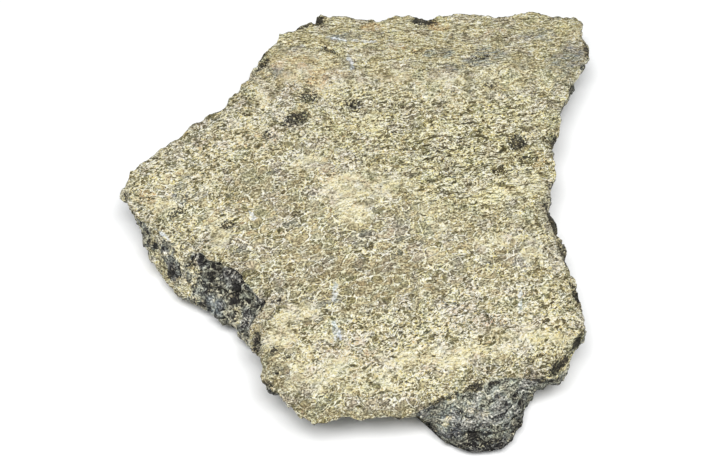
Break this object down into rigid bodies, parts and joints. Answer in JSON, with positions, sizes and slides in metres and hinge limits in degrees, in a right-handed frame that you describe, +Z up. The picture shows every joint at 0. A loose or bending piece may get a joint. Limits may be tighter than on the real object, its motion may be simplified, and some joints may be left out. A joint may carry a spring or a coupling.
{
  "type": "fossil dinosaur bone section",
  "caption": "Broken slab of fossil dinosaur bone, sawn flat on its upper face to show the spongy inner bone, with rough broken walls.",
  "frame": {"origin": "on the resting plane, under the middle of the slab's bounding box", "axes": "+Z up out of the sawn face, +X to the right and +Y away from the viewer who faces the front edge with its low lobe"},
  "size_m": [0.16, 0.1651, 0.024],
  "materials": {
    "fossil_bone": "sawn and lightly smoothed on the upper face, rough and broken on the walls and underside"
  },
  "bodies": {
    "root": {"bone_section": "fossil_bone"}
  },
  "joints": []
}
